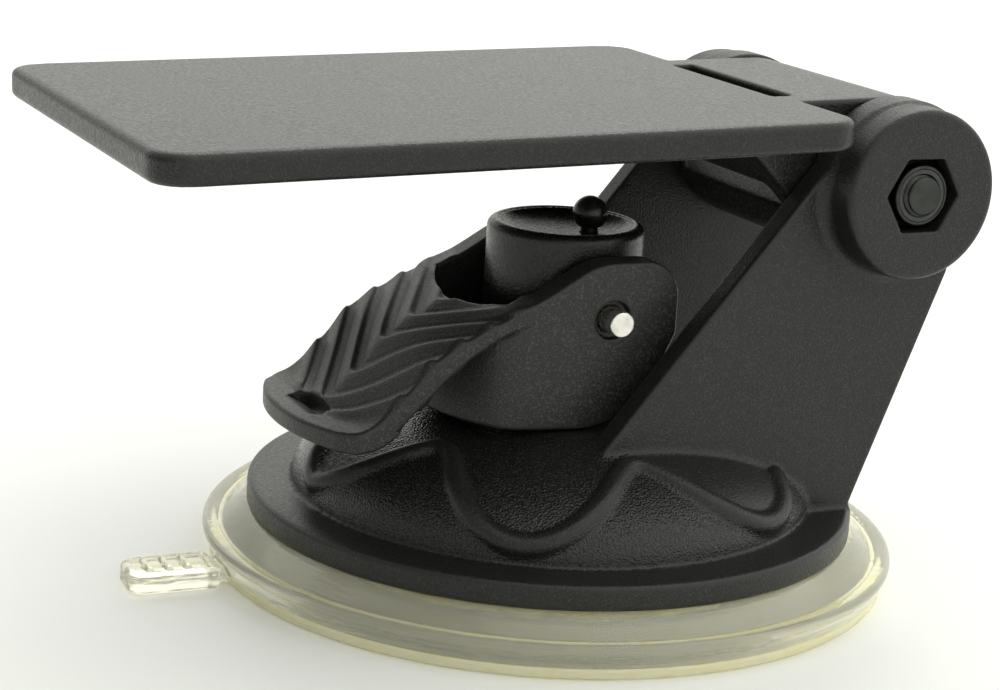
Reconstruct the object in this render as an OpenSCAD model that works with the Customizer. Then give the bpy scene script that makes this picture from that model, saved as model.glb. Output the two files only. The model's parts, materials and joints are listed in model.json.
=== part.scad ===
// Lever-lock suction mount with a tilting platform for a small dashboard device.
// Origin: centre of the suction pad, on the surface that it sticks to. +Z is up,
// the hinge and the cam pin lie along Y, and the platform reaches out towards -X.

/* [Suction cup] */
// Radius of the sticky gel layer where it meets the windscreen or dashboard
gel_r = 40; // [38:0.1:42]
// Thickness of the sticky gel layer
gel_t = 1.2; // [1:0.1:1.4]
// Radius of the clear skirt at its rim bead
rim_r = 40.9; // [40.2:0.1:42.5]
// Height of the rim bead above the surface
rim_top = 4.1; // [3.8:0.1:4.4]
// Height to which the locked lever has drawn the centre of the gel layer
draw_h = 3; // [2.6:0.1:3]
// Length of the pull tab beyond its neck
tab_l = 10.4; // [8:0.1:16]
// Width of the pull tab
tab_w = 6.4; // [5:0.1:8]
// Turn of the cup in the housing, seen as the tab's angle off the -X axis
tab_turn = 2.4; // [-10:0.1:10]

/* [Base housing] */
// Radius of the flange that presses on the cup
flange_r = 35.8; // [35:0.1:36]
// Height of the flange's underside
flange_z = 5.95; // [5.9:0.05:6]
// Thickness of the flange
flange_t = 2.9; // [2.5:0.1:3.2]
// Radius of the dome where it meets the flange
dome_r = 30.7; // [30:0.1:31]
// Height that the dome would reach above the flange without its flat top
dome_h = 11.5; // [11.3:0.1:11.7]
// Radius of the flat on the dome that the lever's cams bear on
cam_seat_r = 14.2; // [13.8:0.1:14.4]

/* [Arms and hinge] */
// Distance of the hinge axis from the plunger axis
hinge_x = 32.8; // [32.5:0.1:33]
// Height of the hinge axis
hinge_z = 47.2; // [47:0.1:47.4]
// Distance between the two arms
arm_gap = 31.2; // [31:0.1:31.4]
// Thickness of each arm
arm_t = 3.25; // [3:0.05:3.5]
// Radius of each arm's ear round the hinge
ear_r = 10.2; // [10:0.1:10.4]
// Radius of the round boss on the outside of each ear
boss_r = 9.8; // [9.6:0.1:10]
// Height of the boss above the arm
boss_h = 4.75; // [4:0.05:5]

/* [Lever] */
// Width of the lever
lever_w = 26; // [25.6:0.1:26.4]
// Width of the lever's window round the plunger
window_w = 22; // [21:0.1:22.4]
// Height of the cam pin
pin_z = 31.9; // [31.8:0.1:32.2]
// Fall of the plunger for each radian that the lever turns
cam_rate = 3.5; // [3:0.1:3.6]
// Diameter of the cam pin
pin_d = 3; // [2.9:0.05:3.1]

/* [Plunger] */
// Radius of the plunger's round post
post_r = 9.15; // [9:0.05:9.15]
// Height of the plunger's top rim
post_top = 40.7; // [40.2:0.1:41]
// Radius of the ball-shaped bumper in the plunger's top
bumper_r = 2.05; // [1.8:0.05:2.2]

/* [Platform] */
// Length of the platform plate
plate_l = 80; // [70:0.5:84]
// Width of the platform plate
plate_w = 56.8; // [50:0.1:60]
// Thickness of the platform plate
plate_t = 3.4; // [3:0.1:3.6]
// Angle by which the plate's free end hangs below level at rest
plate_tilt = 1.3; // [0:0.1:2]
// Width of the strap slot at the root of the plate
slot_w = 23; // [20:0.5:24]

/* [Hidden] */

$fn = 96;
black = [0.16, 0.17, 0.16];
clear_gel = [0.93, 0.9, 0.76, 0.5];
steel = [0.78, 0.78, 0.76];
dark_zinc = [0.3, 0.31, 0.32];
nylon = [0.85, 0.84, 0.78];
soft_black = [0.08, 0.08, 0.08];

eps = 0.01;
big = 200;

// Cup
well_r = 17;                    // radius of the raised centre of the gel
well_foot_r = 30;               // radius where the gel starts to rise
skirt_t = 1.3;                  // skirt thickness over the raised centre
bead_w = 1.7;                   // width of the bead on the skirt's rim
plate_z = draw_h + gel_t + skirt_t + 0.05;
anchor_r = 15;
anchor_t = 3;
tab_z = 0.05;
tab_t = 2.6;
tab_root = 41.3;
tab_corner = 2;
neck_w = 4.6;

// Housing
flange_top = flange_z + flange_t;
wall = 2.4;
cam_seat_z = 19.1;
roof_z = 16.4;                  // spring seat under the dome's top
guide_r = post_r + 0.1;         // running fit of the plunger in its guide
guide_wall = 2;
guide_z = 12;

// Plunger top
rim_soft = 1;                   // rounding of the post's top rim
dish_depth = 0.8;
bumper_x = 3.1;                 // the bumper's place, off the plunger axis

// Spring
wire_r = 0.55;
spring_r = 12.6;
spring_turns = 4;

// Arms
arm_in = arm_gap / 2;
arm_out = arm_in + arm_t;
arm_back = [[40.7, 36.9], [30.2, 9.5], [30.2, 8]];
arm_front = [[-11.9, 8], [23.3, 50.3]];

// Hinge hardware
bolt_r = 2.5;
nut_af = 8;
pocket_af = 8.3;
pocket_z = arm_out - 0.25;      // depth of the hex pockets, measured from mid-plane
head_h = 3.5;
nut_hex_h = 3.3;
nut_collar_h = 1.4;
nut_collar_r = 3.5;
ring_h = 0.9;
ring_r = 3;
washer_t = 0.8;
washer_r = 7;

// Platform
barrel_r = 9.92;
barrel_w = 30.6;
plate_from = 11.4;              // distance from the hinge axis to the plate's near edge
plate_corner = 4;
slot_from = 10.7;
slot_to = 13.3;

// Lever
cam_drop = pin_z - cam_seat_z - 0.25;
lever_tip_x = -35;
cheek_r = 18;                   // round front wall under the strap, about the plunger axis
ear_back_x = 8.3;
pin_recess_r = 2.2;
slot_r = 1.5;                   // half width of the finger slot in the lever's tip

function arc(centre, r, from, to, steps) =
    [for (i = [0:steps]) let (a = from + (to - from) * i / steps)
        centre + r * [cos(a), sin(a)]];

// Points down a quarter ellipse, from radius r_in at the top to the rim
function dome_curve(r, h, r_in, steps) =
    let (a_in = acos(r_in / r))
    [for (i = [0:steps]) let (a = a_in * (1 - i / steps))
        [r * cos(a), flange_top + h * sin(a)]];

// Lay an X-Z outline in place and give it a width along Y
module across(width) {
    translate([0, width / 2, 0]) rotate([90, 0, 0]) linear_extrude(width) children();
}

// A cylinder along Y from y = from to y = to, round the point [x, z]
module rod_y(point, r, from, to) {
    translate([point[0], to, point[1]]) rotate([90, 0, 0]) cylinder(r = r, h = to - from);
}

module hexagon_y(point, af, from, to) {
    translate([point[0], to, point[1]]) rotate([90, 0, 0])
        cylinder(r = af / 2 / cos(30), h = to - from, $fn = 6);
}

hinge = [hinge_x, hinge_z];
pin_axis = [0, pin_z];

module gel_layer() {
    color(clear_gel) rotate_extrude() polygon([
        [0, draw_h], [well_r, draw_h], [well_foot_r, 0], [gel_r - 0.3, 0],
        [gel_r, 0.4], [gel_r, gel_t], [well_foot_r + 1, gel_t],
        [well_r + 0.5, draw_h + gel_t], [0, draw_h + gel_t]
    ]);
}

module skirt_section() {
    bead = bead_w / 2;
    polygon(concat(
        [[0, draw_h + gel_t], [well_r + 0.5, draw_h + gel_t], [well_foot_r + 1, gel_t],
         [gel_r, gel_t], [rim_r - 0.35, 2.6]],
        arc([rim_r - bead, rim_top - bead], bead, 0, 180, 10),
        [[rim_r - bead_w - 0.3, rim_top - 0.45], [flange_r + 0.6, flange_z - 0.5],
         [flange_r - 0.3, flange_z - 0.05], [well_foot_r - 2, flange_z - 0.05],
         [well_r + 1, plate_z - 0.05], [0, plate_z - 0.05]]
    ));
}

module pull_tab() {
    half = tab_w / 2;
    tip = -tab_root - tab_l;
    translate([0, 0, tab_z]) linear_extrude(tab_t) polygon(concat(
        arc([tip + tab_corner, half - tab_corner], tab_corner, 90, 180, 6),
        arc([tip + tab_corner, tab_corner - half], tab_corner, 180, 270, 6),
        [[-tab_root, -half], [-tab_root, half]]
    ));
    translate([-tab_root - 1, -neck_w / 2, tab_z + 0.3]) cube([3, neck_w, tab_t - 0.6]);
    for (i = [0:2]) translate([-tab_root - 3 - 2.2 * i, -half + 1.1, tab_z + tab_t - eps])
        cube([0.7, tab_w - 2.2, 0.35]);
}

module cup_skirt() {
    color(clear_gel) union() {
        rotate_extrude() skirt_section();
        difference() {
            rotate([0, 0, -tab_turn]) pull_tab();
            translate([0, 0, -1]) cylinder(r = gel_r + 0.05, h = 1 + gel_t);
        }
    }
}

module anchor_plate() {
    color(black) difference() {
        translate([0, 0, plate_z]) cylinder(r = anchor_r, h = anchor_t);
        translate([0, 0, plate_z - 1]) cylinder(r = 3.7, h = 2.8);
        translate([0, 0, plate_z - 1]) cylinder(r = 1.9, h = anchor_t + 2);
    }
}

module anchor_screw() {
    color(dark_zinc) union() {
        translate([0, 0, plate_z + 0.1]) cylinder(r = 3.5, h = 1.65);
        translate([0, 0, plate_z + 1]) cylinder(r = 1.6, h = 12);
    }
}

// Closed coil of round wire, swept ring by ring
module return_spring() {
    low = plate_z + anchor_t + wire_r + 0.02;
    high = roof_z - wire_r - 0.02;
    steps = spring_turns * 20;
    sides = 8;
    points = [for (i = [0:steps], j = [0:sides - 1])
        let (a = 360 * spring_turns * i / steps, b = 360 * j / sides,
             r = spring_r + wire_r * cos(b))
        [r * cos(a), r * sin(a), low + (high - low) * i / steps + wire_r * sin(b)]];
    skin = [for (i = [0:steps - 1], j = [0:sides - 1])
        let (a = i * sides + j, b = i * sides + (j + 1) % sides)
        [a, a + sides, b + sides, b]];
    start = [for (j = [0:sides - 1]) j];
    end = [for (j = [sides - 1:-1:0]) steps * sides + j];
    color(steel) polyhedron(points, concat(skin, [start, end]));
}

module plunger() {
    dish_r = post_r - rim_soft - 0.6;
    color(black) difference() {
        rotate_extrude() polygon(concat(
            [[0, plate_z + anchor_t], [post_r, plate_z + anchor_t]],
            arc([post_r - rim_soft, post_top - rim_soft], rim_soft, 0, 90, 8),
            [[dish_r, post_top - dish_depth], [0, post_top - dish_depth]]
        ));
        rod_y(pin_axis, pin_d / 2 + 0.02, -20, 20);
        translate([bumper_x, 0, post_top - 5]) cylinder(r = 1.02, h = 10, $fn = 32);
        translate([0, 0, plate_z]) cylinder(r = 1.62, h = 14);
    }
}
module post_bumper() {
    seat = post_top - dish_depth;
    color(soft_black) union() {
        intersection() {
            translate([bumper_x, 0, seat + 1.5]) sphere(r = bumper_r, $fn = 48);
            translate([bumper_x, 0, seat + 5]) cube(10, center = true);
        }
        translate([bumper_x, 0, post_top - 4.9]) cylinder(r = 1, h = 4.9, $fn = 32);
    }
}

module cam_pin() {
    r = pin_d / 2;
    end = 15.2;
    chamfer = 0.3;
    color(steel) translate([0, 0, pin_z]) rotate([90, 0, 0]) rotate_extrude() polygon([
        [0, -end], [r - chamfer, -end], [r, -end + chamfer],
        [r, end - chamfer], [r - chamfer, end], [0, end]
    ]);
}

// Cam edge as the involute that lowers the pin by cam_rate for each radian
function cam_point(a) =
    let (h = cam_drop - cam_rate * a * PI / 180)
    [h * sin(a) - cam_rate * cos(a), pin_z - h * cos(a) - cam_rate * sin(a)];

module lever_cheeks() {
    polygon(concat(
        [[-cheek_r - 1, 29], [-cheek_r - 1, 20.1], [-13, 19.9]],
        [for (a = [0:4:52]) cam_point(a)],
        [[ear_back_x, 30], [ear_back_x, 34]],
        arc([ear_back_x - 4.5, 34], 4.5, 0, 90, 8),
        arc([-0.5, 32.5], 6, 90, 118, 4),
        [[-8.7, 34.8], [-12.9, 33.3]]
    ));
}

module lever_handle() {
    polygon([
        [-8.7, 34.8], [-12.9, 33.3], [-18.9, 30.5], [-22.2, 28.3], [-25.8, 24.4],
        [-28.8, 21.6], [-31, 21.2], [lever_tip_x, 21.2], [lever_tip_x, 18.6],
        [-30.5, 18.3], [-28.4, 18.6], [-26.2, 19.7], [-22.3, 23.3], [-18.6, 26.8],
        [-14.2, 29.7], [-10, 31.5]
    ]);
}

// Rounded outline of the lever seen from above
module lever_plan() {
    half = lever_w / 2;
    tip_r = 24;
    soft = 1.8;
    corner_x = -29.6;
    sweep = asin((half - soft) / tip_r);
    polygon(concat(
        [[ear_back_x, -half], [ear_back_x, half], [corner_x, half]],
        arc([corner_x, half - soft], soft, 90, 130, 4),
        arc([lever_tip_x + tip_r, 0], tip_r, 180 - sweep, 180 + sweep, 12),
        arc([corner_x, soft - half], soft, 230, 270, 4)
    ));
}

module window_plan() {
    half = window_w / 2;
    front_r = 18;
    sweep = asin(half / front_r);
    polygon(concat(
        [[20, -half], [20, half]],
        arc([front_r - 14.5, 0], front_r, 180 - sweep, 180 + sweep, 12)
    ));
}

module lever() {
    half = lever_w / 2;
    color(black) difference() {
        union() {
            intersection() {
                across(lever_w) lever_cheeks();
                cylinder(r = cheek_r, h = 60);
            }
            intersection() {
                across(lever_w) lever_handle();
                linear_extrude(60) lever_plan();
            }
        }
        linear_extrude(60) window_plan();
        rod_y(pin_axis, pin_d / 2 + 0.06, -20, 20);
        for (side = [-1, 1]) rod_y(pin_axis, pin_recess_r, side * half - 0.9, side * half + 0.9);
        translate([-31.2, 0, 0]) linear_extrude(60) union() {
            square([2 * slot_r, 5], center = true);
            for (y = [-2.5, 2.5]) translate([0, y]) circle(r = slot_r, $fn = 32);
        }
    }
}

module shell_section() {
    inner_r = dome_r - wall;
    inner_h = dome_h - wall;
    roof_r = inner_r * sqrt(1 - pow((roof_z - flange_top) / inner_h, 2));
    outer = dome_curve(dome_r, dome_h, cam_seat_r, 12);
    inner = dome_curve(inner_r, inner_h, roof_r, 10);
    polygon(concat(
        [[guide_r, guide_z], [guide_r, cam_seat_z], [cam_seat_r - 0.4, cam_seat_z]],
        outer,
        [[dome_r + 0.3, flange_top], [flange_r - 0.4, flange_top],
         [flange_r, flange_top - 0.4], [flange_r, flange_z], [inner_r, flange_z]],
        [for (i = [len(inner) - 1:-1:0]) inner[i]],
        [[guide_r + guide_wall, roof_z], [guide_r + guide_wall, guide_z]]
    ));
}

// Space under the dome, kept clear of the arms
module hollow() {
    inner = dome_curve(dome_r - wall, dome_h - wall, 0, 12);
    rotate_extrude() polygon(concat([[0, 0], [0, inner[0][1]]], inner, [[dome_r - wall, 0]]));
}

module arm_outline() {
    polygon(concat(arm_front, [[hinge_x, hinge_z + 4], [hinge_x + ear_r - 0.5, 45]], arm_back));
    translate(hinge) circle(r = ear_r);
}

module boss(side) {
    soft = 1.3;
    translate([hinge_x, side * (arm_out - 0.5), hinge_z]) rotate([-90 * side, 0, 0])
        rotate_extrude() polygon(concat(
            [[0, 0], [boss_r, 0]],
            arc([boss_r - soft, boss_h + 0.5 - soft], soft, 0, 90, 6),
            [[0, boss_h + 0.5]]
        ));
}

module base_housing() {
    face = arm_out + boss_h;
    color(black) difference() {
        union() {
            rotate_extrude() shell_section();
            difference() {
                for (side = [-1, 1]) translate([0, side * (arm_in + arm_t / 2), 0])
                    across(arm_t) arm_outline();
                hollow();
            }
            for (side = [-1, 1]) boss(side);
        }
        rod_y(hinge, bolt_r + 0.1, -face - 1, face + 1);
        hexagon_y(hinge, pocket_af, -face - 1, -pocket_z);
        hexagon_y(hinge, pocket_af, pocket_z, face + 1);
    }
}

module plate_plan() {
    half = plate_w / 2;
    near = -plate_from;
    far = -plate_from - plate_l;
    c = plate_corner;
    polygon(concat(
        arc([near - c, c - half], c, 270, 360, 8),
        arc([near - c, half - c], c, 0, 90, 8),
        arc([far + c, half - c], c, 90, 180, 8),
        arc([far + c, c - half], c, 180, 270, 8)
    ));
}

// Platform drawn round its hinge axis, with the plate level
module platform_level() {
    under = barrel_r - plate_t;
    difference() {
        union() {
            translate([0, 0, under]) linear_extrude(plate_t) plate_plan();
            across(barrel_w) union() {
                circle(r = barrel_r);
                polygon([[0, barrel_r], [-20, barrel_r], [-21, under],
                         [-15, 1], [-8.5, -5], [0, -5]]);
            }
        }
        translate([-slot_to, -slot_w / 2, -20]) cube([slot_to - slot_from, slot_w, 40]);
        rod_y([0, 0], bolt_r + 0.06, -20, 20);
        for (side = [-1, 1]) rod_y([0, 0], washer_r + 0.2,
            side > 0 ? arm_in - washer_t - 0.1 : -20, side > 0 ? 20 : 0.1 + washer_t - arm_in);
    }
}

module platform() {
    color(black) translate([hinge_x, 0, hinge_z]) rotate([0, -plate_tilt, 0]) platform_level();
}

// Friction washer between an arm and the platform's barrel
module washer(from, to) {
    color(soft_black) difference() {
        rod_y(hinge, washer_r, from, to);
        rod_y(hinge, bolt_r + 0.1, -big, big);
    }
}

module washer_near() { washer(-arm_in, washer_t - arm_in); }
module washer_far() { washer(arm_in - washer_t, arm_in); }

module hinge_bolt() {
    end = -arm_out - boss_h - 0.3;
    color(dark_zinc) union() {
        rod_y(hinge, bolt_r, end, pocket_z + 1);
        intersection() {
            hexagon_y(hinge, nut_af, pocket_z, pocket_z + head_h);
            translate([hinge_x, 0, hinge_z]) rotate([-90, 0, 0])
                cylinder(r1 = 30, r2 = 4.3, h = pocket_z + head_h);
        }
    }
}

module lock_nut() {
    seat = -pocket_z;
    collar = seat - nut_hex_h;
    end = collar - nut_collar_h;
    color(dark_zinc) difference() {
        union() {
            hexagon_y(hinge, nut_af, collar, seat);
            rod_y(hinge, nut_collar_r, end, collar + eps);
        }
        rod_y(hinge, bolt_r + 0.02, -big, big);
        rod_y(hinge, ring_r + 0.02, end - 1, end + ring_h);
    }
}

module nylon_ring() {
    end = -pocket_z - nut_hex_h - nut_collar_h;
    color(nylon) difference() {
        rod_y(hinge, ring_r, end + 0.1, end + ring_h);
        rod_y(hinge, bolt_r + 0.02, -big, big);
    }
}

gel_layer();
cup_skirt();
anchor_plate();
anchor_screw();
return_spring();
plunger();
post_bumper();
cam_pin();
lever();
base_housing();
platform();
washer_near();
washer_far();
hinge_bolt();
lock_nut();
nylon_ring();
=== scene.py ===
import json
import math

import bmesh
import bpy
import numpy as np
from mathutils import Matrix, Vector


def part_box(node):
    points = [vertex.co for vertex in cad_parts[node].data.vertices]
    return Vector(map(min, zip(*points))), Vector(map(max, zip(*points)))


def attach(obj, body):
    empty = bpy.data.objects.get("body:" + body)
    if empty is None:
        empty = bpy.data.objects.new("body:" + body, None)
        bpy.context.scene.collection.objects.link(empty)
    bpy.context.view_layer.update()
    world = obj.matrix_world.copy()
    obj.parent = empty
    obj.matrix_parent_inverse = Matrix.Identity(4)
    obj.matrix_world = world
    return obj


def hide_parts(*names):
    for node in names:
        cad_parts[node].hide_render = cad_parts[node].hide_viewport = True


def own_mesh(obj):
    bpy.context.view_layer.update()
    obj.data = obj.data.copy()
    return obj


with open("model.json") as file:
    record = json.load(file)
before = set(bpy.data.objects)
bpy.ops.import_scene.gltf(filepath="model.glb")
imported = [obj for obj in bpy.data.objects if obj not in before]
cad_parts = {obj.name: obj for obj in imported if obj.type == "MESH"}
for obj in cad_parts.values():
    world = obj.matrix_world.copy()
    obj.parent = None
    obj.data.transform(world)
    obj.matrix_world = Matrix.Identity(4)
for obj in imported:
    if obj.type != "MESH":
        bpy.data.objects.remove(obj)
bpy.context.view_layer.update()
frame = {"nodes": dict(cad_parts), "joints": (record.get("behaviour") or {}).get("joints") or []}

# Lengths below are in millimetres, in the frame of the CAD model. They become metres
# where a mesh is made.
MM = 0.001


def place(node):
    """Lowest and highest corner of a CAD node, in millimetres."""
    low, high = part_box(node)
    return low / MM, high / MM


def joint_place(name):
    return Vector(next(j["pos_m"] for j in frame["joints"] if j["name"] == name)) / MM


PIN = joint_place("lever_hinge")
HINGE = joint_place("platform_tilt")
HOUSING = place("base_housing")
LEVER = place("lever")
POST = place("plunger")
CUP = place("cup_skirt")
GEL = place("gel_layer")
POST_R = POST[1].x


# ---- Camera, floor and light ----

def make_camera():
    """A long lens that looks a little down on the object, from its front left."""
    spot = Vector((-129.565, -245.357, 97.942))
    yaw, pitch, roll = 0.4614, 0.2564, 0.0606
    ahead = Vector((math.sin(yaw) * math.cos(pitch), math.cos(yaw) * math.cos(pitch),
                    -math.sin(pitch)))
    level = Vector((math.cos(yaw), -math.sin(yaw), 0))
    upright = level.cross(ahead)
    right = level * math.cos(roll) + upright * math.sin(roll)
    up = upright * math.cos(roll) - level * math.sin(roll)
    data = bpy.data.cameras.new("camera")
    data.sensor_width = 36
    data.lens = 87.81
    data.clip_start = 0.02
    camera = bpy.data.objects.new("camera", data)
    bpy.context.scene.collection.objects.link(camera)
    turn = Matrix((right, up, -ahead)).transposed().to_4x4()
    camera.matrix_world = Matrix.Translation(spot * MM) @ turn
    bpy.context.scene.camera = camera


def make_floor():
    """Plain pale floor, 6 metres wide, just under the cup so that the two never share a face."""
    half, drop = 3000, 0.05
    corners = [(-half, -half), (half, -half), (half, half), (-half, half)]
    mesh = bpy.data.meshes.new("floor")
    mesh.from_pydata([(x * MM, y * MM, 0) for x, y in corners], [], [(0, 1, 2, 3)])
    floor = bpy.data.objects.new("floor", mesh)
    bpy.context.scene.collection.objects.link(floor)
    floor.location.z = -drop * MM
    paint = Paint("floor_white")
    paint.set(**{"Base Color": (0.9, 0.9, 0.89, 1), "Roughness": 0.6})
    mesh.materials.append(paint.material)


def make_light():
    """Soft light from all round, stronger from above and weaker from the left."""
    upwards = {"From Min": -0.1, "From Max": 1, "To Min": 1.06, "To Max": 1.75}
    from_left = {"From Min": -0.9, "From Max": 0.2, "To Min": 0.25, "To Max": 1}
    world = bpy.data.worlds.new("studio")
    world.use_nodes = True
    nodes = world.node_tree.nodes
    sky = nodes["Background"]
    sky.inputs["Color"].default_value = (0.99, 1, 0.94, 1)
    way = nodes.new("ShaderNodeSeparateXYZ")
    higher = nodes.new("ShaderNodeMapRange")
    rightward = nodes.new("ShaderNodeMapRange")
    for node, values in ((higher, upwards), (rightward, from_left)):
        for key, value in values.items():
            node.inputs[key].default_value = value
    strength = nodes.new("ShaderNodeMath")
    strength.operation = "MULTIPLY"
    direction = nodes.new("ShaderNodeTexCoord").outputs["Generated"]
    for source, target in ((direction, way.inputs[0]),
                           (way.outputs["Z"], higher.inputs["Value"]),
                           (way.outputs["X"], rightward.inputs["Value"]),
                           (higher.outputs[0], strength.inputs[0]),
                           (rightward.outputs[0], strength.inputs[1]),
                           (strength.outputs[0], sky.inputs["Strength"])):
        world.node_tree.links.new(source, target)
    bpy.context.scene.world = world
    bpy.context.scene.view_settings.view_transform = "Standard"
    soft_light("key", spot=(0.45, 0.6, 0.9), size=0.6, power=2)


def soft_light(name, spot, size, power):
    """Round lamp at a spot in metres, turned to the object, with its power in watts."""
    data = bpy.data.lights.new(name, "AREA")
    data.shape = "DISK"
    data.size = size
    data.energy = power
    lamp = bpy.data.objects.new(name, data)
    bpy.context.scene.collection.objects.link(lamp)
    lamp.location = spot
    lamp.rotation_euler = (-Vector(spot)).to_track_quat("-Z", "Y").to_euler()


# ---- Materials ----

class Paint:
    """A Principled material, with short calls to add and link nodes."""

    def __init__(self, name):
        self.material = bpy.data.materials.new(name)
        self.material.use_nodes = True
        self.nodes = self.material.node_tree.nodes
        self.shader = self.nodes["Principled BSDF"]
        self.spot = self.add("ShaderNodeTexCoord").outputs["Object"]

    def add(self, kind, inputs=None, **facts):
        node = self.nodes.new(kind)
        for key, value in facts.items():
            setattr(node, key, value)
        for key, value in (inputs or {}).items():
            if isinstance(value, bpy.types.NodeSocket):
                self.link(value, node.inputs[key])
            else:
                node.inputs[key].default_value = value
        return node

    def link(self, source, target):
        self.material.node_tree.links.new(source, target)

    def set(self, **values):
        for key, value in values.items():
            if isinstance(value, bpy.types.NodeSocket):
                self.link(value, self.shader.inputs[key])
            else:
                self.shader.inputs[key].default_value = value

    def noise(self, grain, detail=2.0, roughness=0.5):
        """Noise whose features are about grain millimetres across, from 0 to 1."""
        return self.add("ShaderNodeTexNoise", {
            "Vector": self.spot, "Scale": 1 / (grain * MM), "Detail": detail,
            "Roughness": roughness}).outputs["Fac"]

    def mix(self, factor, a, b):
        node = self.add("ShaderNodeMix", data_type="RGBA")
        for socket, value in ((0, factor), (6, a), (7, b)):
            if isinstance(value, bpy.types.NodeSocket):
                self.link(value, node.inputs[socket])
            else:
                node.inputs[socket].default_value = value
        return node.outputs[2]

    def span(self, value, low, high, to_low, to_high):
        return self.add("ShaderNodeMapRange", {
            "Value": value, "From Min": low, "From Max": high,
            "To Min": to_low, "To Max": to_high}).outputs["Result"]

    def maths(self, operation, a, b=0.0):
        return self.add("ShaderNodeMath", {0: a, 1: b}, operation=operation).outputs[0]

    def mark(self, name):
        """A value stored on the mesh's points."""
        return self.add("ShaderNodeAttribute", attribute_name=name).outputs["Fac"]

    def bump(self, height, depth, strength=1.0, under=None):
        """Bump whose relief is depth millimetres where height goes from 0 to 1."""
        inputs = {"Height": height, "Distance": depth * MM, "Strength": strength}
        if under is not None:
            inputs["Normal"] = under
        return self.add("ShaderNodeBump", inputs).outputs["Normal"]


def moulded_plastic(name, shade, grain, depth, roughness, pebble=0.0):
    """Black ABS with a spark-eroded grain. Edges rubbed in handling are a little paler, and
    where the mesh is marked as pebble the grain is coarser and glossier."""
    m = Paint(name)
    worn = m.span(m.mark("edge"), 0.2, 1, 0, 1)
    speck = m.span(m.noise(grain * 0.8, 1), 0.5, 0.72, 0, 1)
    base = m.mix(speck, (shade, shade * 1.06, shade * 0.97, 1),
                 (shade * 3.6, shade * 3.8, shade * 3.4, 1))
    m.set(**{"Base Color": m.mix(worn, base, (shade * 1.7, shade * 1.8, shade * 1.7, 1))})
    fine = m.bump(m.noise(grain, 1, 0.5), depth)
    gloss = m.span(m.noise(grain * 1.3, 1), 0.3, 0.7, roughness - 0.07, roughness + 0.08)
    if pebble:
        area = m.mark("pebble")
        cells = m.add("ShaderNodeTexVoronoi", {"Vector": m.spot, "Scale": 1 / (pebble * MM)},
                      feature="SMOOTH_F1").outputs["Distance"]
        relief = m.maths("MULTIPLY", cells, area)
        fine = m.bump(relief, pebble * 0.55, 1, fine)
        gloss = m.maths("SUBTRACT", gloss, m.maths("MULTIPLY", area, 0.22))
    m.set(**{"Normal": fine, "Roughness": gloss, "Specular IOR Level": 0.37})
    return m.material


def metal(name, colour, roughness, lines=0.0):
    """Metal with dull stains, and with fine grooves round it if lines gives their depth."""
    m = Paint(name)
    stain = m.span(m.noise(1.3, 4), 0.3, 0.7, 0, 1)
    dull = tuple(0.72 * c for c in colour)
    m.set(**{"Base Color": m.mix(stain, (*dull, 1), (*colour, 1)), "Metallic": 1.0,
             "Roughness": m.span(m.noise(0.5, 3), 0.3, 0.7, roughness * 0.75, roughness * 1.3)})
    if lines:
        stretched = m.add("ShaderNodeMapping", {"Vector": m.spot, "Scale": (1, 14, 1)})
        grooves = m.add("ShaderNodeTexNoise", {"Vector": stretched.outputs[0],
                                               "Scale": 900, "Detail": 3})
        m.set(Normal=m.bump(grooves.outputs["Fac"], lines))
    return m.material


def rubber(name, shade, roughness):
    """Smooth dark rubber or nylon with a little dust."""
    m = Paint(name)
    dust = m.span(m.noise(0.9, 3), 0.45, 0.8, 0, 0.5)
    dusty = (shade * 3, shade * 3, shade * 2.8, 1)
    m.set(**{"Base Color": m.mix(dust, (shade, shade, shade, 1), dusty),
             "Roughness": m.span(m.noise(0.7, 2), 0.3, 0.7, roughness, roughness + 0.15),
             "Normal": m.bump(m.noise(0.25, 2), 0.01)})
    return m.material


def clear_gel(name, tint, clear_share, roughness, streak, ior):
    """Clear soft plastic with faint flow lines. Shadow rays pass through it, so that the
    floor under it is lit."""
    m = Paint(name)
    ways = m.add("ShaderNodeMapping", {"Vector": m.spot, "Scale": (1, 1, 9)})
    flow = m.add("ShaderNodeTexNoise", {"Vector": ways.outputs[0], "Scale": 330, "Detail": 3})
    pale = tuple(1 - 0.35 * (1 - c) for c in tint)
    colour = m.mix(m.span(flow.outputs["Fac"], 0.35, 0.7, 0, 1), (*pale, 1), (*tint, 1))
    m.set(**{"Base Color": colour, "Roughness": roughness, "IOR": ior,
             "Transmission Weight": clear_share,
             "Normal": m.bump(flow.outputs["Fac"], streak)})
    clear = m.add("ShaderNodeBsdfTransparent", {"Color": (*pale, 1)})
    ray = m.add("ShaderNodeLightPath").outputs["Is Shadow Ray"]
    shown = m.add("ShaderNodeMixShader", {0: ray, 1: m.shader.outputs[0], 2: clear.outputs[0]})
    m.link(shown.outputs[0], m.nodes["Material Output"].inputs["Surface"])
    return m.material


# ---- Shapes as distance fields: negative inside, and in millimetres ----

def both(a, b, soft=0.0):
    """Where a and b overlap, with the edge between them rounded to a radius."""
    if not soft:
        return np.maximum(a, b)
    over = np.hypot(np.maximum(a + soft, 0), np.maximum(b + soft, 0))
    return np.minimum(-soft, np.maximum(a, b)) + over


def joined(a, b, soft=0.0):
    """a and b together, with a fillet of a radius between them."""
    return -both(-a, -b, soft)


def cut(a, b, soft=0.0):
    return both(a, -b, soft)


def slab(v, low, high):
    return np.maximum(low - v, v - high)


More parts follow.
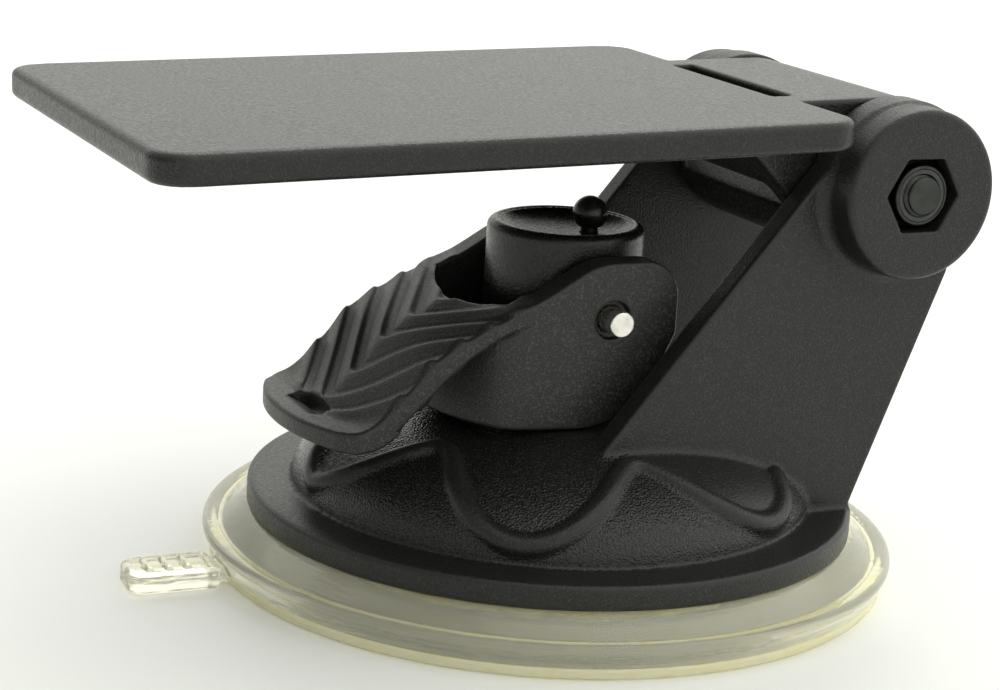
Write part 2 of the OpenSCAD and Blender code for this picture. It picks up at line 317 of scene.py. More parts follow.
def outline(points, a, b):
    """Distance from the places (a, b) to a closed outline."""
    nearest = np.inf
    inside = False
    for (a0, b0), (a1, b1) in zip(points, [*points[1:], points[0]]):
        da, db = a1 - a0, b1 - b0
        if da == db == 0:
            continue
        share = np.clip(((a - a0) * da + (b - b0) * db) / (da * da + db * db), 0, 1)
        nearest = np.minimum(nearest, (a - a0 - share * da) ** 2 + (b - b0 - share * db) ** 2)
        if db:
            inside = inside ^ (((b0 <= b) != (b1 <= b)) & (a < a0 + (b - b0) * da / db))
    return np.where(inside, -1, 1) * np.sqrt(nearest)


def rounded(corners, steps=6):
    """Closed outline through the corners (a, b, radius), each turned by an arc of its radius."""
    points = []
    for i, (a, b, r) in enumerate(corners):
        here = Vector((a, b))
        if not r:
            points.append(tuple(here))
            continue
        before = (Vector(corners[i - 1][:2]) - here).normalized()
        after = (Vector(corners[(i + 1) % len(corners)][:2]) - here).normalized()
        half = before.angle(after) / 2
        centre = here + (before + after).normalized() * (r / math.sin(half))
        start = here + before * (r / math.tan(half)) - centre
        end = here + after * (r / math.tan(half)) - centre
        turn = math.atan2(start.x * end.y - start.y * end.x, start.dot(end))
        for k in range(steps + 1):
            points.append(tuple(centre + Matrix.Rotation(turn * k / steps, 2) @ start))
    return points


def arc(a, b, r, start, end, steps):
    """Points round (a, b) from one angle in degrees to another."""
    return [(a + r * math.cos(t), b + r * math.sin(t))
            for t in np.radians(np.linspace(start, end, steps + 1))]


def turned(profile, x, y, z, fine=0.08):
    """The profile(r, z) turned round the Z axis."""
    radius = np.hypot(x, y)
    r = np.arange(0, radius.max() + 2 * fine, fine)
    table = profile(r[:, None], z.reshape(1, -1)).astype(np.float32)
    row = (radius[:, :, 0] / fine).astype(int)
    share = (radius / fine - row[:, :, None]).astype(np.float32)
    return table[row] * (1 - share) + table[row + 1] * share


def spaced(*stretches):
    """One axis of a grid: stretches of (from, to, step), each starting where the last ends."""
    parts = [np.linspace(a, b, round((b - a) / step), endpoint=False) for a, b, step in stretches]
    return np.concatenate([*parts, [stretches[-1][1]]]).astype(np.float32)


class Grid:
    def __init__(self, x, y, z):
        self.axes = (x, y, z)
        self.x, self.y, self.z = np.meshgrid(x, y, z, indexing="ij", sparse=True)

    def sample(self, field, points):
        """The field at the points, by linear interpolation."""
        cells, shares = [], []
        for axis, v in zip(self.axes, points.T):
            i = np.clip(np.searchsorted(axis, v) - 1, 0, len(axis) - 2)
            cells.append(i)
            shares.append(np.clip((v - axis[i]) / (axis[i + 1] - axis[i]), 0, 1))
        total = 0
        for corner in np.ndindex(2, 2, 2):
            weight = 1
            for share, up in zip(shares, corner):
                weight = weight * (share if up else 1 - share)
            total = total + weight * field[tuple(i + up for i, up in zip(cells, corner))]
        return total

    def slope(self, field, points, reach):
        """Gradient of the field at the points, and how sharply the surface bends there."""
        here = self.sample(field, points)
        gradient, bend = np.zeros_like(points), -6 * here
        for k in range(3):
            step = np.zeros(3)
            step[k] = reach
            ahead, behind = self.sample(field, points + step), self.sample(field, points - step)
            gradient[:, k] = (ahead - behind) / (2 * reach)
            bend += ahead + behind
        return here, gradient, bend / reach ** 2


def skin(field, grid, reach=0.3):
    """Surface where the field is zero: one point in each cell that it crosses, moved onto it,
    and a quad round each edge of the grid that it crosses."""
    inside = field < 0
    cell_ids, places, quads = [], [], []
    shape = field.shape
    found = 0
    for axis in range(3):
        one, two = [k for k in range(3) if k != axis]
        low = [slice(None)] * 3
        high = [slice(None)] * 3
        low[axis], high[axis] = slice(0, -1), slice(1, None)
        low, high = tuple(low), tuple(high)
        edge = np.argwhere(inside[low] != inside[high])
        far = edge.copy()
        far[:, axis] += 1
        a, b = field[tuple(edge.T)], field[tuple(far.T)]
        place = np.stack([grid.axes[k][edge[:, k]] for k in range(3)], 1).astype(float)
        place[:, axis] += (grid.axes[axis][far[:, axis]] - place[:, axis]) * a / (a - b)
        corners = []
        for back_one, back_two in ((0, 0), (1, 0), (1, 1), (0, 1)):
            cell = edge.copy()
            cell[:, one] -= back_one
            cell[:, two] -= back_two
            corners.append(np.ravel_multi_index(tuple(cell.T), shape))
            places.append(place)
        cell_ids += corners
        order = np.arange(found, found + 4 * len(edge)).reshape(4, -1).T
        flip = inside[tuple(edge.T)] == (axis == 1)
        order[flip] = order[flip][:, ::-1]
        quads.append(order)
        found += 4 * len(edge)
    _, index = np.unique(np.concatenate(cell_ids), return_inverse=True)
    places = np.concatenate(places)
    share = np.bincount(index)
    points = np.stack([np.bincount(index, places[:, k]) / share for k in range(3)], 1)
    for _ in range(2):
        here, gradient, bend = grid.slope(field, points, reach)
        length = np.maximum((gradient ** 2).sum(1, keepdims=True), 1e-6)
        points -= np.clip(here[:, None] * gradient / length, -reach, reach)
    here, gradient, bend = grid.slope(field, points, reach)
    normals = gradient / np.maximum(np.linalg.norm(gradient, axis=1, keepdims=True), 1e-6)
    return points, index[np.concatenate(quads)], normals, bend


def piece(name, body, slot_name, paint, mesh, *nodes):
    """Puts a mesh on a CAD body as a new object, in the place of the CAD nodes."""
    obj = bpy.data.objects.new(name, mesh)
    bpy.context.scene.collection.objects.link(obj)
    mesh.materials.append(paint)
    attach(obj, body)
    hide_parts(*nodes)
    return obj


def field_mesh(name, field, grid, marks=None, turn=None, reach=0.3):
    """Mesh of a field, with its own normals and the marks that the materials read."""
    points, quads, normals, bend = skin(field, grid, reach)
    values = {"edge": np.clip(bend * 0.45, 0, 1)}
    values.update({key: mark(*points.T) for key, mark in (marks or {}).items()})
    if turn is not None:
        spin = np.array(turn.to_3x3())
        points = points @ spin.T + np.array(turn.translation)
        normals = normals @ spin.T
    mesh = bpy.data.meshes.new(name)
    mesh.vertices.add(len(points))
    mesh.vertices.foreach_set("co", (points * MM).astype(np.float32).ravel())
    mesh.loops.add(quads.size)
    mesh.loops.foreach_set("vertex_index", quads.astype(np.int32).ravel())
    mesh.polygons.add(len(quads))
    mesh.polygons.foreach_set("loop_start", np.arange(0, quads.size, 4, dtype=np.int32))
    mesh.update(calc_edges=True)
    mesh.shade_smooth()
    for key, value in values.items():
        mark = mesh.attributes.new(key, "FLOAT", "POINT")
        mark.data.foreach_set("value", np.asarray(value, np.float32))
    mesh.normals_split_custom_set_from_vertices(normals)
    return mesh


# ---- Base housing ----

FLANGE_R = -HOUSING[0].x
FLANGE_Z = HOUSING[0].z
FLANGE_TOP = FLANGE_Z + 2.9
DOME_R = 30.7
DOME_H = 11.5
SEAT_R = 14.2
SEAT_Z = 19.1
WALL = 2.4
ARM_IN = 15.6
ARM_OUT = 18.85
EAR_R = HOUSING[1].z - HINGE.z
BOSS_R = 9.8
BOSS_FACE = 23.6
POCKET_Y = 18.6
POCKET_AF = 8.3
ROOF_Z = 16.4
POST_PLAY = 0.1


def dome_points(r, h, from_r, to_r, steps=30):
    """Down the dome's quarter ellipse from one radius to another, as (r, z)."""
    start, end = math.acos(from_r / r), math.acos(to_r / r)
    return [(r * math.cos(t), FLANGE_TOP + h * math.sin(t))
            for t in np.linspace(start, end, steps)]


def shell_outside(r, z):
    """Flange and dome, with a small chamfer at the dome's foot."""
    foot = 0.3
    edge = rounded([(0, SEAT_Z, 0), (0, FLANGE_Z, 0), (FLANGE_R, FLANGE_Z, 0.35),
                    (FLANGE_R, FLANGE_TOP, 0.6), (DOME_R + foot, FLANGE_TOP, 0)])
    crown = dome_points(DOME_R, DOME_H, DOME_R, SEAT_R)
    return outline([*edge, (DOME_R + foot, FLANGE_TOP + foot), *crown, (SEAT_R - 0.4, SEAT_Z)],
                   r, z)


def shell_inside(r, z):
    """Hollow under the dome, open towards the cup."""
    inner_r, inner_h = DOME_R - WALL, DOME_H - WALL
    return outline([(0, -9), (inner_r, -9), *dome_points(inner_r, inner_h, inner_r, 0)], r, z)


def guide_tube(r, z):
    """Roof of the dome and the tube in it that guides the plunger."""
    bore = POST_R + POST_PLAY
    return outline(rounded([(bore, 12, 0), (bore + 2, 12, 0.3), (bore + 2, ROOF_Z, 0),
                            (SEAT_R, ROOF_Z, 0), (SEAT_R, SEAT_Z, 0), (bore, SEAT_Z, 0.3)]), r, z)


def wave_height(angle):
    """Height of the wave moulding at an angle in degrees off the arms' side."""
    crest, period = 91.5, 61.5
    middle, swing = 14.2, 3.1
    return middle + swing * np.cos(2 * math.pi * (angle - crest) / period)


def wave_place(angle):
    """Centre of the wave moulding, which winds up and down the dome."""
    sunk = 0.35
    z = wave_height(angle)
    tilt = math.asin((z - FLANGE_TOP) / DOME_H)
    out = Vector((math.cos(tilt) / DOME_R, math.sin(tilt) / DOME_H)).normalized()
    r = DOME_R * math.cos(tilt) - sunk * out.x
    turn = math.radians(angle)
    return r * math.cos(turn), r * math.sin(turn), z - sunk * out.y


def wave_field(grid, dome):
    """Round moulding along the wave, worked out only near the dome's surface."""
    radius = 1.35
    near = (abs(dome) < 2.6) & (grid.z > FLANGE_TOP - 1) & (grid.z < SEAT_Z)
    x, y, z = (np.broadcast_to(v, near.shape)[near] for v in (grid.x, abs(grid.y), grid.z))
    nearest = np.full(len(x), 1e6, np.float32)
    for angle in np.arange(46, 181, 0.8):
        px, py, pz = wave_place(angle)
        nearest = np.minimum(nearest, (x - px) ** 2 + (y - py) ** 2 + (z - pz) ** 2)
    field = np.full(near.shape, 5, np.float32)
    field[near] = np.sqrt(nearest) - radius
    return field


def arm_outline(x, z):
    """Side view of an arm: a straight taper up to a round ear on the hinge axis."""
    slope = outline([(-11.9, 8), (23.3, 50.3), (HINGE.x, HINGE.z + 4), (42.5, 45), (40.7, 36.9),
                     (30.2, 9.5), (30.2, 8)], x, z)
    ear = np.hypot(x - HINGE.x, z - HINGE.z) - EAR_R
    return np.minimum(slope, ear)


def boss_root(x, y, z):
    """Fillet between a boss and its arm, kept inside the arm's outline."""
    fillet = 1.3
    short = np.maximum(fillet - (abs(y) - ARM_OUT), 0)
    flare = fillet - np.sqrt(np.maximum(fillet ** 2 - short ** 2, 0))
    cone = np.hypot(x - HINGE.x, z - HINGE.z) - BOSS_R - flare
    return both(both(cone, arm_outline(x, z)), slab(abs(y), ARM_OUT - 0.5, ARM_OUT + fillet))


def hexagon(x, z, across):
    """Distance to a hexagon round the hinge axis, with corners towards -X and +X."""
    x, z = abs(x - HINGE.x), abs(z - HINGE.z)
    return np.maximum(z, 0.5 * z + math.sqrt(0.75) * x) - across / 2


def housing_mesh():
    bolt_hole = 2.6
    grid = Grid(spaced((-37.4, 22.6, 0.3), (22.6, 44.6, 0.22)),
                spaced((-37.4, -24.6, 0.3), (-24.6, -14.2, 0.24), (-14.2, 14.2, 0.5),
                       (14.2, 24.6, 0.24), (24.6, 37.4, 0.3)),
                spaced((4.4, 36.4, 0.3), (36.4, 58.6, 0.22)))
    x, y, z = grid.x, grid.y, grid.z
    dome = turned(shell_outside, x, y, z)
    field = joined(dome, wave_field(grid, dome), 0.3)
    arms = both(arm_outline(x, z), slab(abs(y), ARM_IN, ARM_OUT), 0.4)
    field = joined(field, arms, 0.7)
    field = cut(field, turned(shell_inside, x, y, z))
    field = np.minimum(field, turned(guide_tube, x, y, z))
    field = cut(field, both(np.hypot(x, y) - POST_R - POST_PLAY, slab(z, 0, 30)))
    turn = np.hypot(x - HINGE.x, z - HINGE.z)
    boss = both(turn - BOSS_R, slab(abs(y), ARM_OUT - 2, BOSS_FACE), 0.8)
    field = np.minimum(field, np.minimum(boss, boss_root(x, y, z)))
    field = cut(field, both(hexagon(x, z, POCKET_AF), POCKET_Y - abs(y)), 0.15)
    field = cut(field, turn - bolt_hole)

    def pebble(px, py, pz):
        """1 on the coarse-grained dome, and little on the wave and between it and the arms."""
        r = np.hypot(px, py)
        on_dome = np.clip((DOME_R + 0.2 - r) * 2, 0, 1) * np.clip((pz - FLANGE_TOP - 0.2) * 3, 0, 1)
        on_wave = np.clip(dome_place(r, pz) * 4 - 0.3, 0, 1)
        angle = np.degrees(np.arctan2(abs(py), px))
        leaf = (angle < 91) & (pz > wave_height(angle))
        return on_dome * (pz < SEAT_Z - 0.3) * (1 - on_wave) * np.where(leaf, 0.1, 1)

    return field_mesh("housing", field, grid, {"pebble": pebble})


def dome_place(r, z):
    """Rough height over the dome's ellipse."""
    return (np.hypot(r / DOME_R, (z - FLANGE_TOP) / DOME_H) - 1) * DOME_H


# ---- Lever ----

LEVER_HALF = LEVER[1].y
WINDOW_HALF = 9.6
EAR_BACK = 8.3
FRONT_R = 18
LEVER_TIP = LEVER[0].x
CAM_DROP = PIN.z - SEAT_Z - 0.25
CAM_RATE = 3.5


def spline(points, steps=5):
    """Smooth curve through the points (a, b)."""
    ends = [points[0], *points, points[-1]]
    curve = []
    for p0, p1, p2, p3 in zip(ends, ends[1:], ends[2:], ends[3:]):
        p0, p1, p2, p3 = map(np.array, (p0, p1, p2, p3))
        square = 2 * p0 - 5 * p1 + 4 * p2 - p3
        cube = 3 * p1 - p0 - 3 * p2 + p3
        for t in np.arange(steps) / steps:
            curve.append(tuple(0.5 * (2 * p1 + (p2 - p0) * t + square * t ** 2 + cube * t ** 3)))
    return [*curve, points[-1]]


def cam_point(degrees):
    """Cam edge as the involute that lets the pin down by CAM_RATE for each radian."""
    a = math.radians(degrees)
    reach = CAM_DROP - CAM_RATE * a
    return (reach * math.sin(a) - CAM_RATE * math.cos(a),
            PIN.z - reach * math.cos(a) - CAM_RATE * math.sin(a))


TOP_EDGE = [(-0.5, 38.5), (-3.3, 37.8), (-8.7, 34.8), (-12.9, 33.3), (-18.9, 30.5), (-22.2, 28.3),
            (-25.8, 24.4), (-28.8, 21.9), (-31, 21.2)]


def lever_sides(x, z):
    """Side view of the lever's cheeks, with the cams along their lower edge."""
    top = spline(TOP_EDGE[:4])
    back = arc(EAR_BACK - 4.5, 34, 4.5, 0, 90, 8)
    front = -FRONT_R - 1
    return outline([(front, 29), (front, 20.1), (-13, 19.9), *map(cam_point, range(0, 53, 4)),
                    (EAR_BACK, 30), *back, *top], x, z)


def lever_strap(x, z):
    """Side view of the plate that joins the cheeks and runs out to the tip."""
    under = [(-30.5, 18.3), (-28.4, 18.6), (-26.2, 19.7), (-22.3, 23.3), (-18.6, 26.8),
             (-14.2, 29.7), (-10, 31.5)]
    tip = [(LEVER_TIP, 21.2), (LEVER_TIP, 18.6)]
    return outline([*spline(TOP_EDGE[2:]), *tip, *spline(under)], x, z)


def strap_plan(x, y):
    """View from above of that plate, with its round tip."""
    tip_r, soft, corner = 24, 1.8, -29.6
    sweep = math.degrees(math.asin((LEVER_HALF - soft) / tip_r))
    return outline([(EAR_BACK + 9, -LEVER_HALF), (EAR_BACK + 9, LEVER_HALF), (corner, LEVER_HALF),
                    *arc(corner, LEVER_HALF - soft, soft, 90, 130, 4),
                    *arc(LEVER_TIP + tip_r, 0, tip_r, 180 - sweep, 180 + sweep, 16),
                    *arc(corner, soft - LEVER_HALF, soft, 230, 270, 4)], x, y)


def rib_height(x, y):
    """V ribs on the strap's top, their points towards the tip and their steep sides away."""
    first, pitch, lean, height = -16.2, 3.5, 0.66, 0.55
    along = (first - x + lean * np.hypot(y, 0.7)) / pitch
    off = (along - np.clip(np.round(along), 0, 5)) * pitch * 0.84
    half = np.where(off > 0, 1.15, 0.4)
    fade = np.clip((x + 31.2) / 1.2, 0, 1) * np.clip((-7.5 - x) / 2.5, 0, 1)
    fade = fade * np.clip((LEVER_HALF - 0.1 - abs(y)) / 0.6, 0, 1)
    return height * np.exp(-(off / half) ** 2) * fade


def lever_mesh():
    grid = Grid(spaced((LEVER_TIP - 0.6, EAR_BACK + 0.8, 0.2)),
                spaced((-LEVER_HALF - 0.6, LEVER_HALF + 0.6, 0.2)),
                spaced((LEVER[0].z - 0.8, LEVER[1].z + 0.6, 0.2)))
    x, y, z = grid.x, grid.y, grid.z
    wall = both(np.hypot(x, y) - FRONT_R, abs(y) - LEVER_HALF, 1.5)
    sides = both(lever_sides(x, z), wall, 0.35)
    rib_floor, rib_from_z = 0.45, 20.5
    top = (rib_height(x, y) - rib_floor) * (z > rib_from_z)
    strap = both(lever_strap(x, z) - top, strap_plan(x, y), 0.5)
    field = joined(sides, strap, 0.5)
    field = cut(field, lever_window(x, y), 0.4)
    recess_r, recess_depth, pin_hole = 2.2, 0.9, 1.56
    turn = np.hypot(x - PIN.x, z - PIN.z)
    field = cut(field, both(turn - recess_r, LEVER_HALF - recess_depth - abs(y)), 0.15)
    field = cut(field, turn - pin_hole)
    field = cut(field, tip_slot(x, y, z), 0.15)
    return field_mesh("lever", field, grid, reach=0.2)


def lever_window(x, y):
    """Opening for the post, with its round end towards the tip."""
    front, round_r, back = -14.5, 18, 20
    sweep = math.degrees(math.asin(WINDOW_HALF / round_r))
    return outline([(back, -WINDOW_HALF), (back, WINDOW_HALF),
                    *arc(front + round_r, 0, round_r, 180 - sweep, 180 + sweep, 16)], x, y)


def tip_slot(x, y, z):
    """Slot in the tip: a ramp that goes down towards the post, and a hole beyond it."""
    middle, half, r, hole_from = -31.2, 2.7, 1.5, -30.8
    ramp_x, ramp_z, steepness = -32.7, 20.8, 0.4
    slot = np.hypot(x - middle, np.maximum(abs(y) - half, 0)) - r
    ramp = ramp_z - steepness * (x - ramp_x) - z
    return both(slot, np.minimum(ramp, hole_from - x))


# ---- Platform ----

def strap_slot(x, y):
    """Slot across the plate's root, with rounded corners."""
    middle, half_x, half_y, corner = -12, 0.95, 11.1, 0.4
    return np.hypot(np.maximum(abs(x - middle) - half_x, 0),
                    np.maximum(abs(y) - half_y, 0)) - corner


def platform_mesh(tilt):
    """Built level round the hinge axis, then tilted and put in place."""
    barrel_r, barrel_half, bolt_hole, washer_r, washer_y = 9.92, 15.3, 2.56, 7.2, 14.7
    plate_t, plate_half, near, length, corner = 3.4, 28.4, -11.4, 80, 4
    under = barrel_r - plate_t
    grid = Grid(spaced((near - length - 1, near - 10, 0.5), (near - 10, 11.2, 0.25)),
                spaced((-29.5, -14, 0.5), (-14, 14, 0.5), (14, 29.5, 0.5)),
                spaced((-11, under - 1, 0.4), (under - 1, barrel_r + 0.8, 0.2)))
    x, y, z = grid.x, grid.y, grid.z
    plan = outline(rounded([(near, -plate_half, corner), (near, plate_half, corner),
                            (near - length, plate_half, corner),
                            (near - length, -plate_half, corner)], 12), x, y)
    plate = both(plan, slab(z, under, barrel_r), 0.9)
    neck = outline([(0, barrel_r), (-20, barrel_r), (-20, under), (-7.2, -6.82), (0, -6.8)], x, z)
    barrel = np.minimum(np.hypot(x, z) - barrel_r, neck)
    barrel = both(barrel, abs(y) - barrel_half, 0.5)
    below_top = np.clip(barrel_r - 0.5 - z, 0, 1)
    field = np.minimum(plate, barrel) * (1 - below_top) + joined(plate, barrel, 0.6) * below_top
    field = cut(field, strap_slot(x, y), 0.25)
    field = cut(field, np.hypot(x, z) - bolt_hole)
    field = cut(field, both(np.hypot(x, z) - washer_r, washer_y - abs(y)), 0.2)
    turn = Matrix.Translation(HINGE) @ Matrix.Rotation(math.radians(-tilt), 4, "Y")
    return field_mesh("platform", field, grid, turn=turn)


# ---- Plunger, pin and bumper ----

BALL_R = 2.05
BUMPER_X = place("post_bumper")[0].x + BALL_R


def post_mesh():
    low, high = POST
    rim, dish_r, dish, pin_hole, bumper_hole = 1, 7.55, 1.7, 1.52, 1.02
    across = spaced((-POST_R - 0.8, POST_R + 0.8, 0.22))
    grid = Grid(across, across,
                spaced((low.z - 1, high.z - 3, 0.3), (high.z - 3, high.z + 0.8, 0.16)))
    x, y, z = grid.x, grid.y, grid.z
    bowl = [(dish_r * math.sin(t), high.z - dish * math.cos(t))
            for t in np.linspace(1.5, 0, 14)]
    profile = [*rounded([(0, low.z, 0), (POST_R, low.z, 0.4), (POST_R, high.z, rim),
                         (dish_r + 0.35, high.z, 0.3)], 8)[:-1], *bowl]
    field = turned(lambda r, h: outline(profile, r, h), x, y, z, 0.04)
    field = cut(field, np.hypot(x, z - PIN.z) - pin_hole, 0.15)
    field = cut(field, both(np.hypot(x - BUMPER_X, y) - bumper_hole, high.z - 5 - z), 0.1)
    return field_mesh("post", field, grid, reach=0.16)


def lathe(name, corners, centre, axis="Z", steps=96):
    """Mesh of an outline of (radius, height) points turned round an axis through a point."""
    profile = rounded(corners, 5)
    mesh = bpy.data.meshes.new(name)
    bm = bmesh.new()
    rings = []
    for r, h in profile:
        count = 1 if r < 0.001 else steps
        angles = [2 * math.pi * k / count for k in range(count)]
        rings.append([bm.verts.new((r * math.cos(t), r * math.sin(t), h)) for t in angles])
    for low, high in zip(rings, rings[1:]):
        for k in range(steps):
            a, b = low[k % len(low)], low[(k + 1) % len(low)]
            c, d = high[(k + 1) % len(high)], high[k % len(high)]
            face = list(dict.fromkeys((a, b, c, d)))
            if len(face) > 2:
                bm.faces.new(face)
    bmesh.ops.recalc_face_normals(bm, faces=bm.faces)
    turn = Matrix.Rotation(math.radians(-90), 4, "X") if axis == "Y" else Matrix.Identity(4)
    bm.transform(Matrix.Scale(MM, 4) @ Matrix.Translation(centre) @ turn)
    bm.to_mesh(mesh)
    bm.free()
    mesh.shade_smooth()
    mesh.set_sharp_from_angle(angle=math.radians(35))
    return mesh


def bumper_mesh():
    """Ball on a short stem that stands in the post's top."""
    stem, neck, seat, foot = 1.0, 1.5, POST[1].z - 0.8, POST[1].z - 4.9
    middle = seat + neck - foot
    low = math.degrees(math.asin(-neck / BALL_R))
    ball = [(r, h, 0) for r, h in arc(0, middle, BALL_R, low, 89, 22)]
    return lathe("bumper", [(0, 0, 0), (stem, 0, 0.2), (stem, middle - neck, 0), *ball,
                            (0, middle + BALL_R, 0)], (BUMPER_X, 0, foot))


def pin_mesh():
    low, high = place("cam_pin")
    r, length = high.z - PIN.z, high.y - low.y
    return lathe("pin", [(0, 0, 0), (r, 0, 0.22), (r, length, 0.22), (0, length, 0)],
                 (PIN.x, low.y, PIN.z), "Y")


# ---- Hinge bolt and nut ----

BOLT_R = 2.5
THREAD_PITCH = 0.8


def bolt_mesh():
    low, high = place("hinge_bolt")
    grid = Grid(spaced((HINGE.x - 5, HINGE.x + 5, 0.11)),
                spaced((low.y - 0.5, -12, 0.1), (-12, 17.5, 0.5), (17.5, high.y + 0.5, 0.12)),
                spaced((HINGE.z - 5, HINGE.z + 5, 0.11)))
    x, y, z = grid.x, grid.y, grid.z
    turn = np.hypot(x - HINGE.x, z - HINGE.z)
    angle = np.arctan2(z - HINGE.z, x - HINGE.x) / (2 * math.pi)
    wave = abs((y / THREAD_PITCH + angle) % 1 - 0.5) * 2
    groove = 0.42 * np.clip(wave * 1.25 - 0.1, 0, 1) * np.clip((-13 - y) / 2, 0, 1)
    shank = both(turn - BOLT_R + groove, slab(y, low.y, POCKET_Y + 1), 0.12)
    shank = both(shank, (turn - BOLT_R + 0.5 - (y - low.y)) * math.sqrt(0.5))
    head = both(hexagon(x, z, 8), slab(y, POCKET_Y, high.y), 0.12)
    head = both(head, (turn - 4.05 + (y - high.y + 0.35) * 1.4) / 1.72, 0.1)
    head = cut(head, np.hypot(turn, (y - high.y - 9.6)) - 9.9, 0.2)
    return field_mesh("bolt", np.minimum(shank, head), grid, reach=0.1)


def nut_mesh():
    low, high = place("lock_nut")
    collar_from, collar_r, ring_r, ring_depth = high.y - 3.3, 3.5, 3.02, 0.9
    grid = Grid(spaced((HINGE.x - 5, HINGE.x + 5, 0.1)), spaced((low.y - 0.4, high.y + 0.4, 0.1)),
                spaced((HINGE.z - 5, HINGE.z + 5, 0.1)))
    x, y, z = grid.x, grid.y, grid.z
    turn = np.hypot(x - HINGE.x, z - HINGE.z)
    body = both(hexagon(x, z, 8), slab(y, collar_from, high.y), 0.12)
    body = both(body, (turn - 4.1 - (y - collar_from - 0.35) * 1.4) / 1.72, 0.12)
    collar = both(turn - collar_r, slab(y, low.y, high.y), 0.35)
    field = joined(body, collar, 0.2)
    field = cut(field, turn - BOLT_R - 0.04, 0.1)
    field = cut(field, both(turn - ring_r, y - low.y - ring_depth), 0.12)
    return field_mesh("nut", field, grid, reach=0.1)


# ---- Suction cup ----

CUP_SPLIT = 29.0
CUP_RADIUS = GEL[1].x
RIM_R = CUP[1].x
GEL_T = 1.2
DRAWN = 3.0
FILM = 0.03


def gel_profile(r, z):
    return outline(rounded([(0, DRAWN, 0), (17, DRAWN, 3), (30, 0, 3), (CUP_RADIUS, 0, 0.4),
                            (CUP_RADIUS, GEL_T - FILM, 0.15), (31, GEL_T - FILM, 3),
                            (17.5, DRAWN + GEL_T - FILM, 3), (0, DRAWN + GEL_T - FILM, 0)]), r, z)


def skirt_profile(r, z):
    low, roof = GEL_T + FILM, FLANGE_Z - 0.05
    return outline(rounded([(0, DRAWN + low, 0), (17.5, DRAWN + low, 3), (31, low, 3),
                            (CUP_RADIUS + 0.02, low, 0.2), (RIM_R - 0.3, 2.5, 1),
                            (RIM_R, 3.1, 0.5), (RIM_R - 0.05, 4.1, 0.75), (RIM_R - 1.75, 4.1, 0.75),
                            (RIM_R - 2.05, 3.6, 0.35), (FLANGE_R + 0.5, 5.5, 0.6),
                            (FLANGE_R - 0.4, roof, 0.3), (28, roof, 1), (18, 5.5, 1),
                            (0, 5.5, 0)]), r, z)


def cup_grid(step):
    reach = RIM_R + 0.8
    across = spaced((-reach, reach, step))
    return Grid(across, across, spaced((-0.8, 6.8, 0.2)))


def cup_layer(name, profile, step, middle):
    """The part of a cup layer inside the split, its middle, or the part outside it."""
    grid = cup_grid(step)
    field = turned(profile, grid.x, grid.y, grid.z, 0.05)
    split = CUP_SPLIT - np.hypot(grid.x, grid.y)
    return field_mesh(name, both(field, -split if middle else split), grid, reach=0.15)


def tab_field(grid):
    """Pull tab on a short neck, turned a little off the -X axis."""
    turn = math.radians(2.4)
    x = grid.x * math.cos(turn) - grid.y * math.sin(turn)
    y = grid.x * math.sin(turn) + grid.y * math.cos(turn)
    z = grid.z
    root, tip, half, base, top = -41.3, -51.7, 3.2, 0.05, 2.65
    plan = outline(rounded([(root, -half, 0.7), (tip, -half, 2), (tip, half, 2), (root, half, 0.7)],
                           8), x, y)
    tab = both(plan, slab(z, base, top), 0.7)
    tray = outline(rounded([(root - 1, -half + 0.8, 0.4), (tip + 1.1, -half + 0.8, 1),
                            (tip + 1.1, half - 0.8, 1), (root - 1, half - 0.8, 0.4)]), x, y)
    tab = cut(tab, both(tray, top - 0.35 - z), 0.2)
    for k in range(3):
        rib = both(abs(x - root + 3.4 + 2.2 * k) - 0.35, abs(y) - half + 1.3, 0.2)
        tab = joined(tab, both(rib, slab(z, 1, top + 0.2), 0.25), 0.25)
    neck = both(slab(x, root - 1, -CUP_RADIUS + 0.6), abs(y) - 2.3, 0.3)
    neck = both(neck, slab(z, 0.45, 2.15), 0.5)
    return joined(tab, neck, 0.6)


def skirt_ring_mesh():
    """Outer ring of the clear skirt with its rim and pull tab, which stays still."""
    reach = RIM_R + 0.8
    grid = Grid(spaced((CUP[0].x - 0.8, -CUP_RADIUS + 1, 0.16), (-CUP_RADIUS + 1, reach, 0.36)),
                spaced((-reach, -4.4, 0.36), (-4.4, 7.6, 0.16), (7.6, reach, 0.36)),
                spaced((-0.6, 6.8, 0.18)))
    ring = turned(skirt_profile, grid.x, grid.y, grid.z, 0.04)
    ring = both(ring, CUP_SPLIT - np.hypot(grid.x, grid.y))
    clear_of_gel = both(tab_field(grid), CUP_RADIUS + 0.06 - np.hypot(grid.x, grid.y))
    return field_mesh("skirt_ring", joined(ring, clear_of_gel, 0.4), grid, reach=0.15)


# ---- Assembly ----

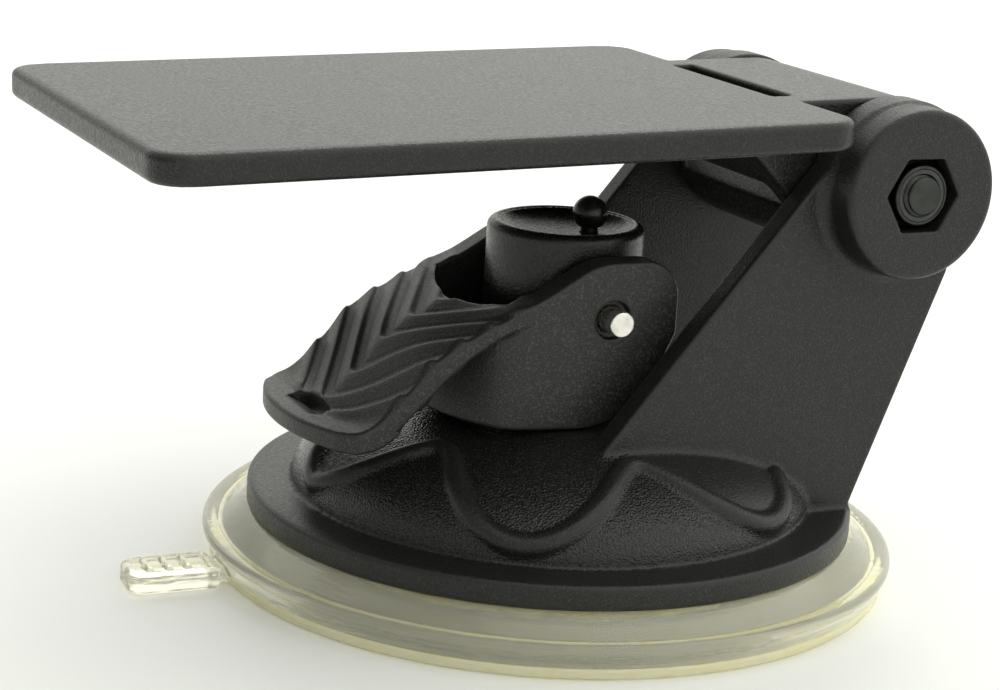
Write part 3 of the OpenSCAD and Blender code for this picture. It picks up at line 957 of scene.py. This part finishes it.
def build():
    housing_paint = moulded_plastic("housing_black", shade=0.0085, grain=0.27, depth=0.06,
                                    roughness=0.38, pebble=0.21)
    # The lever is the housing's black plastic with a paler shade: painted light for its lit top and
    # sides.
    lever_lit_paint = moulded_plastic("lever_black_painted_light", shade=0.0135, grain=0.26, depth=0.05,
                                  roughness=0.4)
    platform_paint = moulded_plastic("platform_black", shade=0.007, grain=0.28, depth=0.06,
                                     roughness=0.34)
    # The post is the housing's black plastic with a darker shade: painted shade for the shadow of
    # the arms and platform over it.
    post_shaded_paint = moulded_plastic("post_black_painted_shade", shade=0.004, grain=0.3, depth=0.04, roughness=0.3)
    inner_paint = moulded_plastic("inner_black", shade=0.012, grain=0.4, depth=0.02,
                                  roughness=0.4)
    black_zinc = metal("black_zinc", colour=(0.055, 0.058, 0.055), roughness=0.38)
    bright_steel = metal("ground_steel", colour=(0.86, 0.84, 0.78), roughness=0.3, lines=0.002)
    wire_steel = metal("spring_wire", colour=(0.55, 0.55, 0.56), roughness=0.3)
    ball_rubber = rubber("bumper_black", shade=0.008, roughness=0.22)
    friction_rubber = rubber("washer_black", shade=0.012, roughness=0.6)
    ring_nylon = rubber("nylon_dark", shade=0.02, roughness=0.3)
    skirt_gel = clear_gel("skirt_clear", tint=(1, 0.985, 0.77), clear_share=0.84,
                          roughness=0.06, streak=0.07, ior=1.4)
    sticky_gel = clear_gel("gel_clear", tint=(1, 0.96, 0.64), clear_share=0.55,
                           roughness=0.12, streak=0.1, ior=1.1)

    piece("housing_shell", "root", "housing_plastic", housing_paint, housing_mesh(),
          "base_housing")
    piece("lever_handle", "lever_body", "lever_plastic", lever_lit_paint, lever_mesh(), "lever")
    piece("device_platform", "platform_body", "platform_plastic", platform_paint,
          platform_mesh(tilt=1.3), "platform")
    piece("plunger_post", "plunger_body", "post_plastic", post_shaded_paint, post_mesh(), "plunger")
    piece("bumper_ball", "plunger_body", "bumper_rubber", ball_rubber, bumper_mesh(),
          "post_bumper")
    piece("lever_pin", "plunger_body", "pin_steel", bright_steel, pin_mesh(), "cam_pin")
    piece("pivot_bolt", "root", "dark_zinc", black_zinc, bolt_mesh(), "hinge_bolt")
    piece("pivot_nut", "root", "dark_zinc", black_zinc, nut_mesh(), "lock_nut")
    piece("skirt_ring", "root", "clear_skirt", skirt_gel, skirt_ring_mesh(), "cup_skirt")
    piece("gel_ring", "root", "sticky_gel", sticky_gel,
          cup_layer("gel_ring", gel_profile, 0.4, middle=False), "gel_layer")
    for name, slot_name, paint, profile, step in (
            ("skirt_middle", "clear_skirt", skirt_gel, skirt_profile, 0.5),
            ("gel_middle", "sticky_gel", sticky_gel, gel_profile, 0.4)):
        obj = piece(name, "root", slot_name, paint, cup_layer(name, profile, step, middle=True))
        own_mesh(obj)

    for node, paint in (("anchor_plate", inner_paint), ("anchor_screw", black_zinc),
                        ("return_spring", wire_steel), ("washer_near", friction_rubber),
                        ("washer_far", friction_rubber), ("nylon_ring", ring_nylon)):
        frame["nodes"][node].data.materials.clear()
        frame["nodes"][node].data.materials.append(paint)


make_camera()
make_floor()
make_light()
build()
